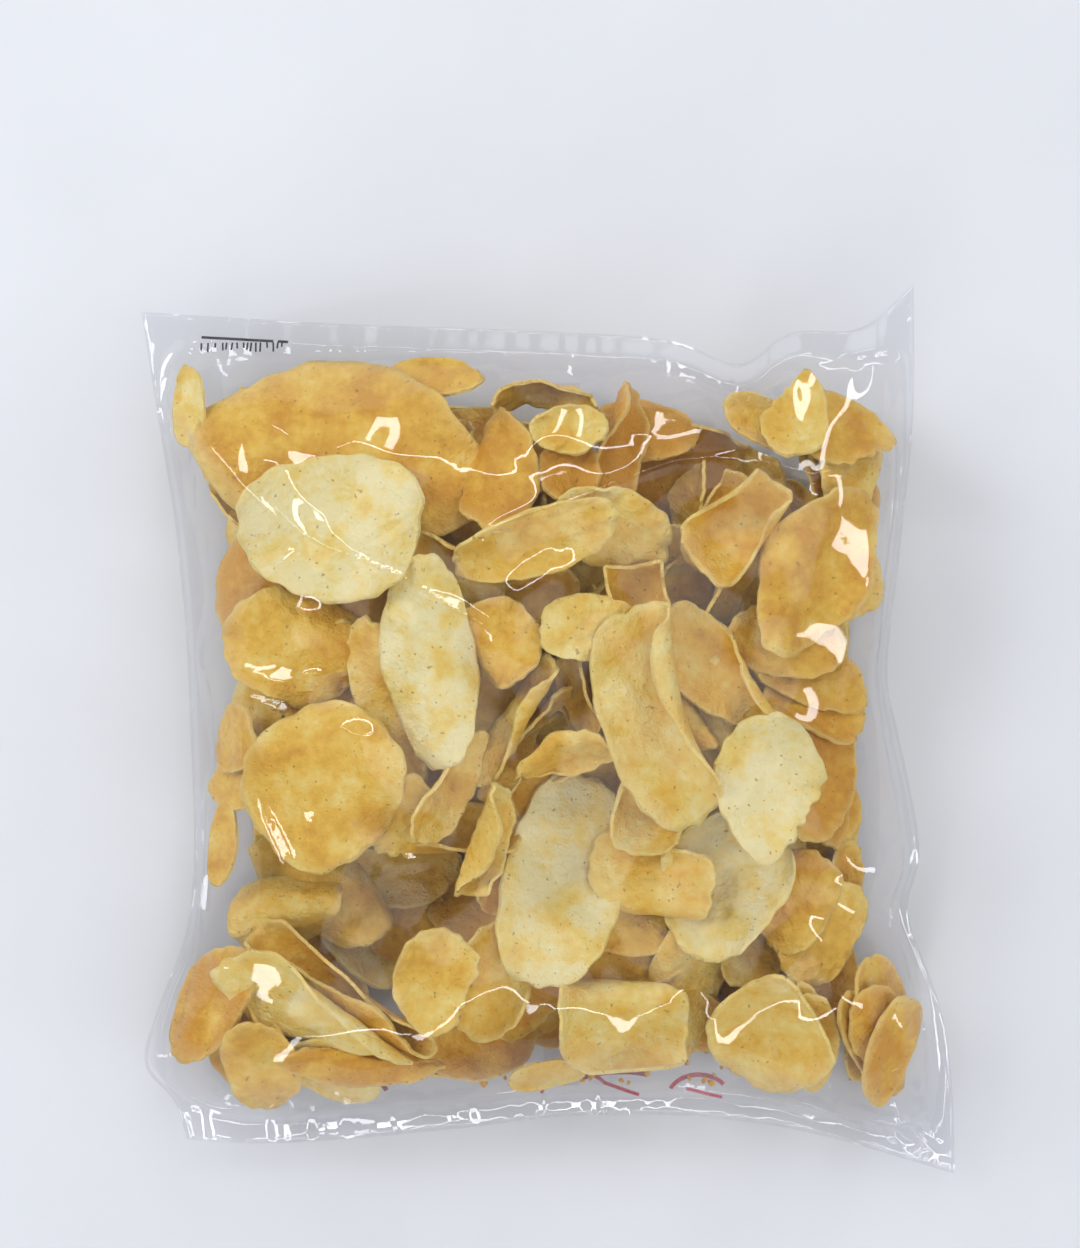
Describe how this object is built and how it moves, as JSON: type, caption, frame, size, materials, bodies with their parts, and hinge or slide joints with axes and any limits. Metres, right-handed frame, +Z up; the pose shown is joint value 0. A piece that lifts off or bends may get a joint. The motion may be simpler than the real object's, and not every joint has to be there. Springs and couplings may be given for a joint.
{
  "type": "bag of crisps",
  "caption": "Clear film pillow bag of potato crisps lying on its back, sealed flat across both ends, with loose film corners.",
  "frame": {"origin": "on the table, under the middle of the bag's box", "axes": "+Z up from the table, +Y along the bag from its bottom seal to its top seal, +X across the bag"},
  "size_m": [0.2752, 0.299, 0.0645],
  "materials": {
    "clear_film": "gloss",
    "crisps": "matte",
    "print": "satin"
  },
  "bodies": {
    "root": {"crisp_bag": "clear_film"}
  },
  "joints": []
}
